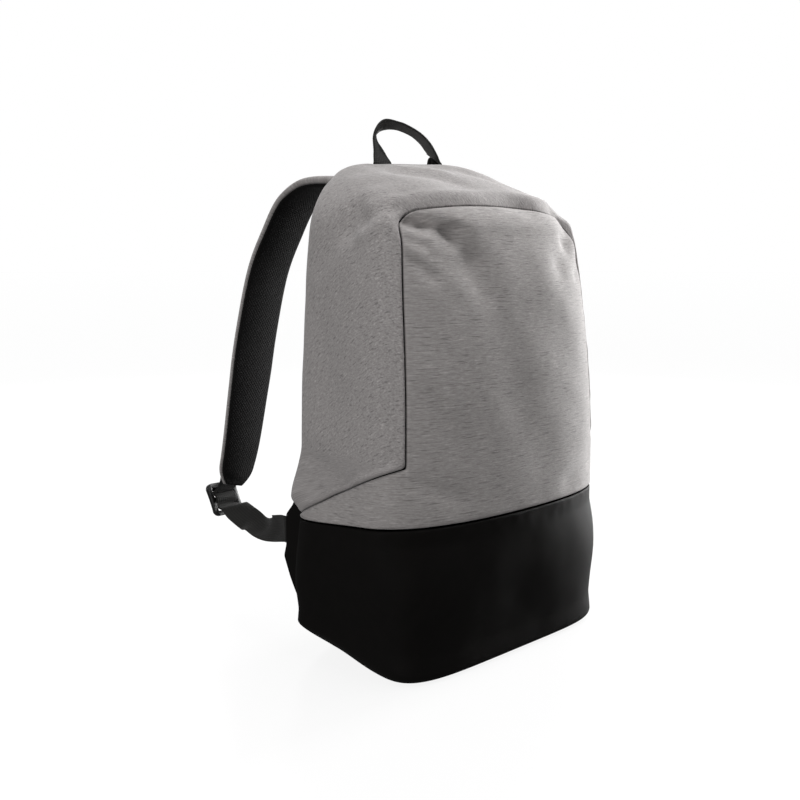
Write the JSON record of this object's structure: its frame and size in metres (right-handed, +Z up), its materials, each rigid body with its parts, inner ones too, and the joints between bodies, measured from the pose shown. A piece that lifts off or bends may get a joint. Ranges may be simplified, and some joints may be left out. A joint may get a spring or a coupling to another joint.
{
  "type": "anti theft backpack",
  "caption": "Soft upright day pack with a grey heather upper, a black base, a padded back, two shoulder straps, a webbing handle and a zip hidden at the back.",
  "frame": {"origin": "middle of the flat foot on which the bag stands", "axes": "+Z up, the front panel faces -Y and the padded back +Y, +X to the right seen from the front"},
  "size_m": [0.315, 0.3146, 0.5017],
  "materials": {
    "heather": "woven grey melange polyester",
    "base_cloth": "smooth black woven polyester",
    "air_mesh": "black spacer mesh",
    "webbing": "black woven webbing",
    "zip_tape": "black zip tape and coil",
    "lock_plastic": "moulded black plastic"
  },
  "bodies": {
    "root": {"front_panel": "heather", "side_top_gusset": "heather", "base_panel": "base_cloth", "zip_band": "zip_tape", "back_panel": "air_mesh", "top_handle": "webbing", "left_strap_pad": "air_mesh", "left_strap_cover": "heather", "left_strap_wing": "base_cloth", "left_ladder_lock": "lock_plastic", "left_webbing": "webbing", "left_lock_tab": "webbing", "right_strap_pad": "air_mesh", "right_strap_cover": "heather", "right_strap_wing": "base_cloth", "right_ladder_lock": "lock_plastic", "right_webbing": "webbing", "right_lock_tab": "webbing"}
  },
  "joints": []
}
